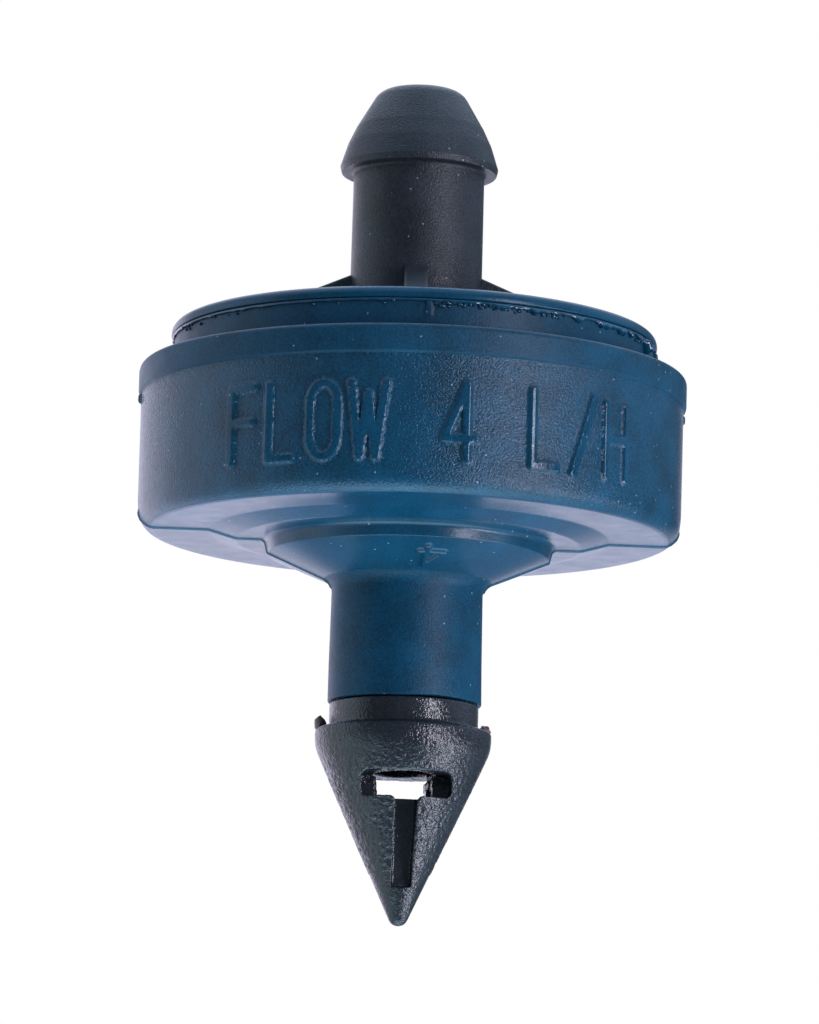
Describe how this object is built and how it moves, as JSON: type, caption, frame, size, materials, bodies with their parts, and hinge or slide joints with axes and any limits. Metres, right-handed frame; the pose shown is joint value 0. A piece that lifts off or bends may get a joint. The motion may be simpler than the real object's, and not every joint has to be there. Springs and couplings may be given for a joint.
{
  "type": "drip emitter",
  "caption": "Round pressure-compensating button drip emitter with a self-piercing inlet barb below and a barbed microtube outlet nipple on top.",
  "frame": {"origin": "on the emitter's axis, in the plane of the inlet barb's shoulder, which is where the pipe wall's inner face lies", "axes": "+Z along the emitter's axis from the inlet spike to the outlet nipple; +X and -Y along two of the cover's four ribs, with the spike's T window facing -Y"},
  "size_m": [0.021, 0.021, 0.0323],
  "materials": {
    "black_plastic": "black polyethylene with a coarse spark-eroded grain, half glossy",
    "blue_plastic": "dark petrol-blue polyethylene, semi-matte fine moulded grain",
    "silicone": "soft dark silicone rubber, matte",
    "natural_plastic": "undyed milky polyethylene",
    "black_plastic_cover": "black polyethylene, semi-matte fine grain",
    "blue_plastic_ring": "dark petrol-blue polyethylene, semi-matte, with a melted weld line below"
  },
  "bodies": {
    "emitter_body": {"inlet_spike": "black_plastic", "housing": "blue_plastic", "labyrinth_disc": "natural_plastic", "outlet_cover": "black_plastic_cover", "retaining_ring": "blue_plastic_ring"},
    "diaphragm": {"diaphragm": "silicone"}
  },
  "joints": [
    {"name": "diaphragm_lift", "type": "slide", "parent": "emitter_body", "child": "diaphragm", "axis": [0, 0, 1], "range_m": [0, 0.0004], "stiffness_N_per_m": 40, "springref_m": -0.0005}
  ]
}
